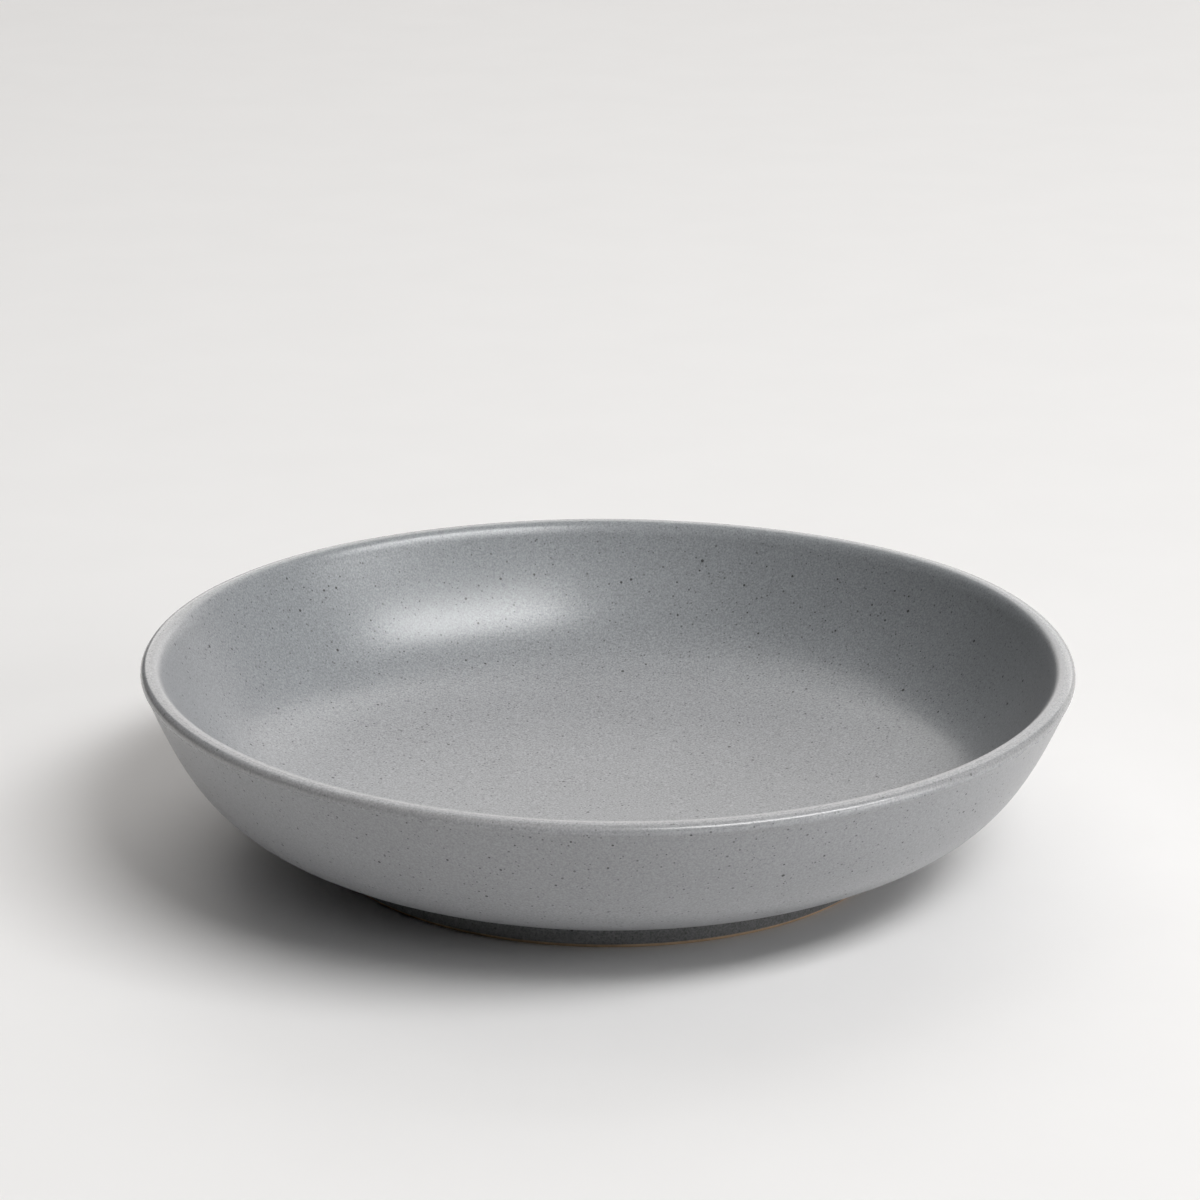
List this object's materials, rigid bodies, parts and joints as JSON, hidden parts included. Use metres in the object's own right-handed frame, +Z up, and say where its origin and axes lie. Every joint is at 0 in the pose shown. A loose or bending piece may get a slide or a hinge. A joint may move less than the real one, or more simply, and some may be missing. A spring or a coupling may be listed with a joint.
{
  "type": "coupe soup bowl",
  "caption": "Low, wide rimless stoneware bowl with a curved wall, a round lip and a foot ring, under a satin glaze; holds soup or pasta.",
  "frame": {"origin": "on the table, under the centre of the bowl", "axes": "+Z up along the turning axis; X and Y are alike, because the bowl is round"},
  "size_m": [0.22, 0.22, 0.0477],
  "materials": {
    "stoneware": "bare fired stoneware, hidden under the glaze",
    "bare_foot": "bare fired stoneware, tan and slightly sandy",
    "satin_glaze": "satin blue-grey glaze with fine dark iron specks",
    "well_glaze": "the same satin glaze, inside the foot ring"
  },
  "bodies": {
    "root": {"bowl_body": "stoneware", "foot_ring": "bare_foot", "glaze_coat": "satin_glaze", "foot_well_glaze": "well_glaze"}
  },
  "joints": []
}
